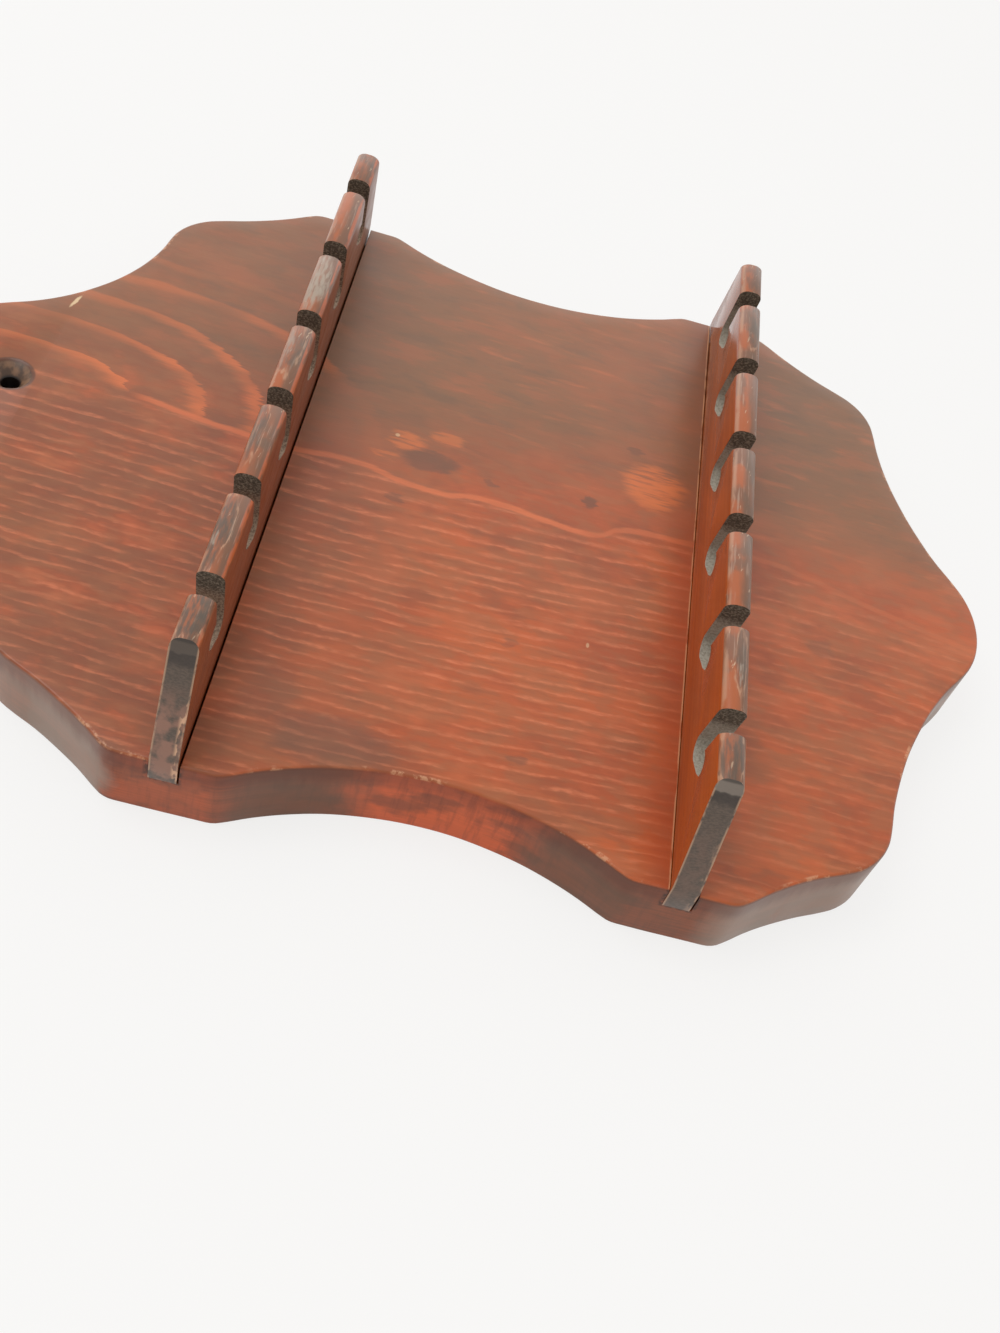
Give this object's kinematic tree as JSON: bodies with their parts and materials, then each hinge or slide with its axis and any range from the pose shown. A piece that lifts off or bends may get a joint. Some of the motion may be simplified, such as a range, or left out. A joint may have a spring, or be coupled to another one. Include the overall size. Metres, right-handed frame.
{
  "type": "spoon rack",
  "caption": "Wall-hung wooden rack for souvenir spoons: a scalloped back board with a hanging hole and two upright rails cut with hook slots.",
  "frame": {"origin": "axis of the hanging hole at the board's back face, which lies against the wall", "axes": "+X along the rails (to the right for someone facing the hung rack), +Y up the wall, +Z out from the wall along the hanging hole"},
  "size_m": [0.212, 0.2918, 0.0495],
  "materials": {
    "board_wood": "red-brown stained softwood, satin varnish, worn",
    "rail_wood": "red-brown stained softwood, satin varnish, worn front edges",
    "brad_steel": "plain wire steel, dull"
  },
  "bodies": {
    "root": {"back_board": "board_wood", "upper_rail": "rail_wood", "lower_rail": "rail_wood", "upper_rail_brads": "brad_steel", "lower_rail_brads": "brad_steel"}
  },
  "joints": []
}
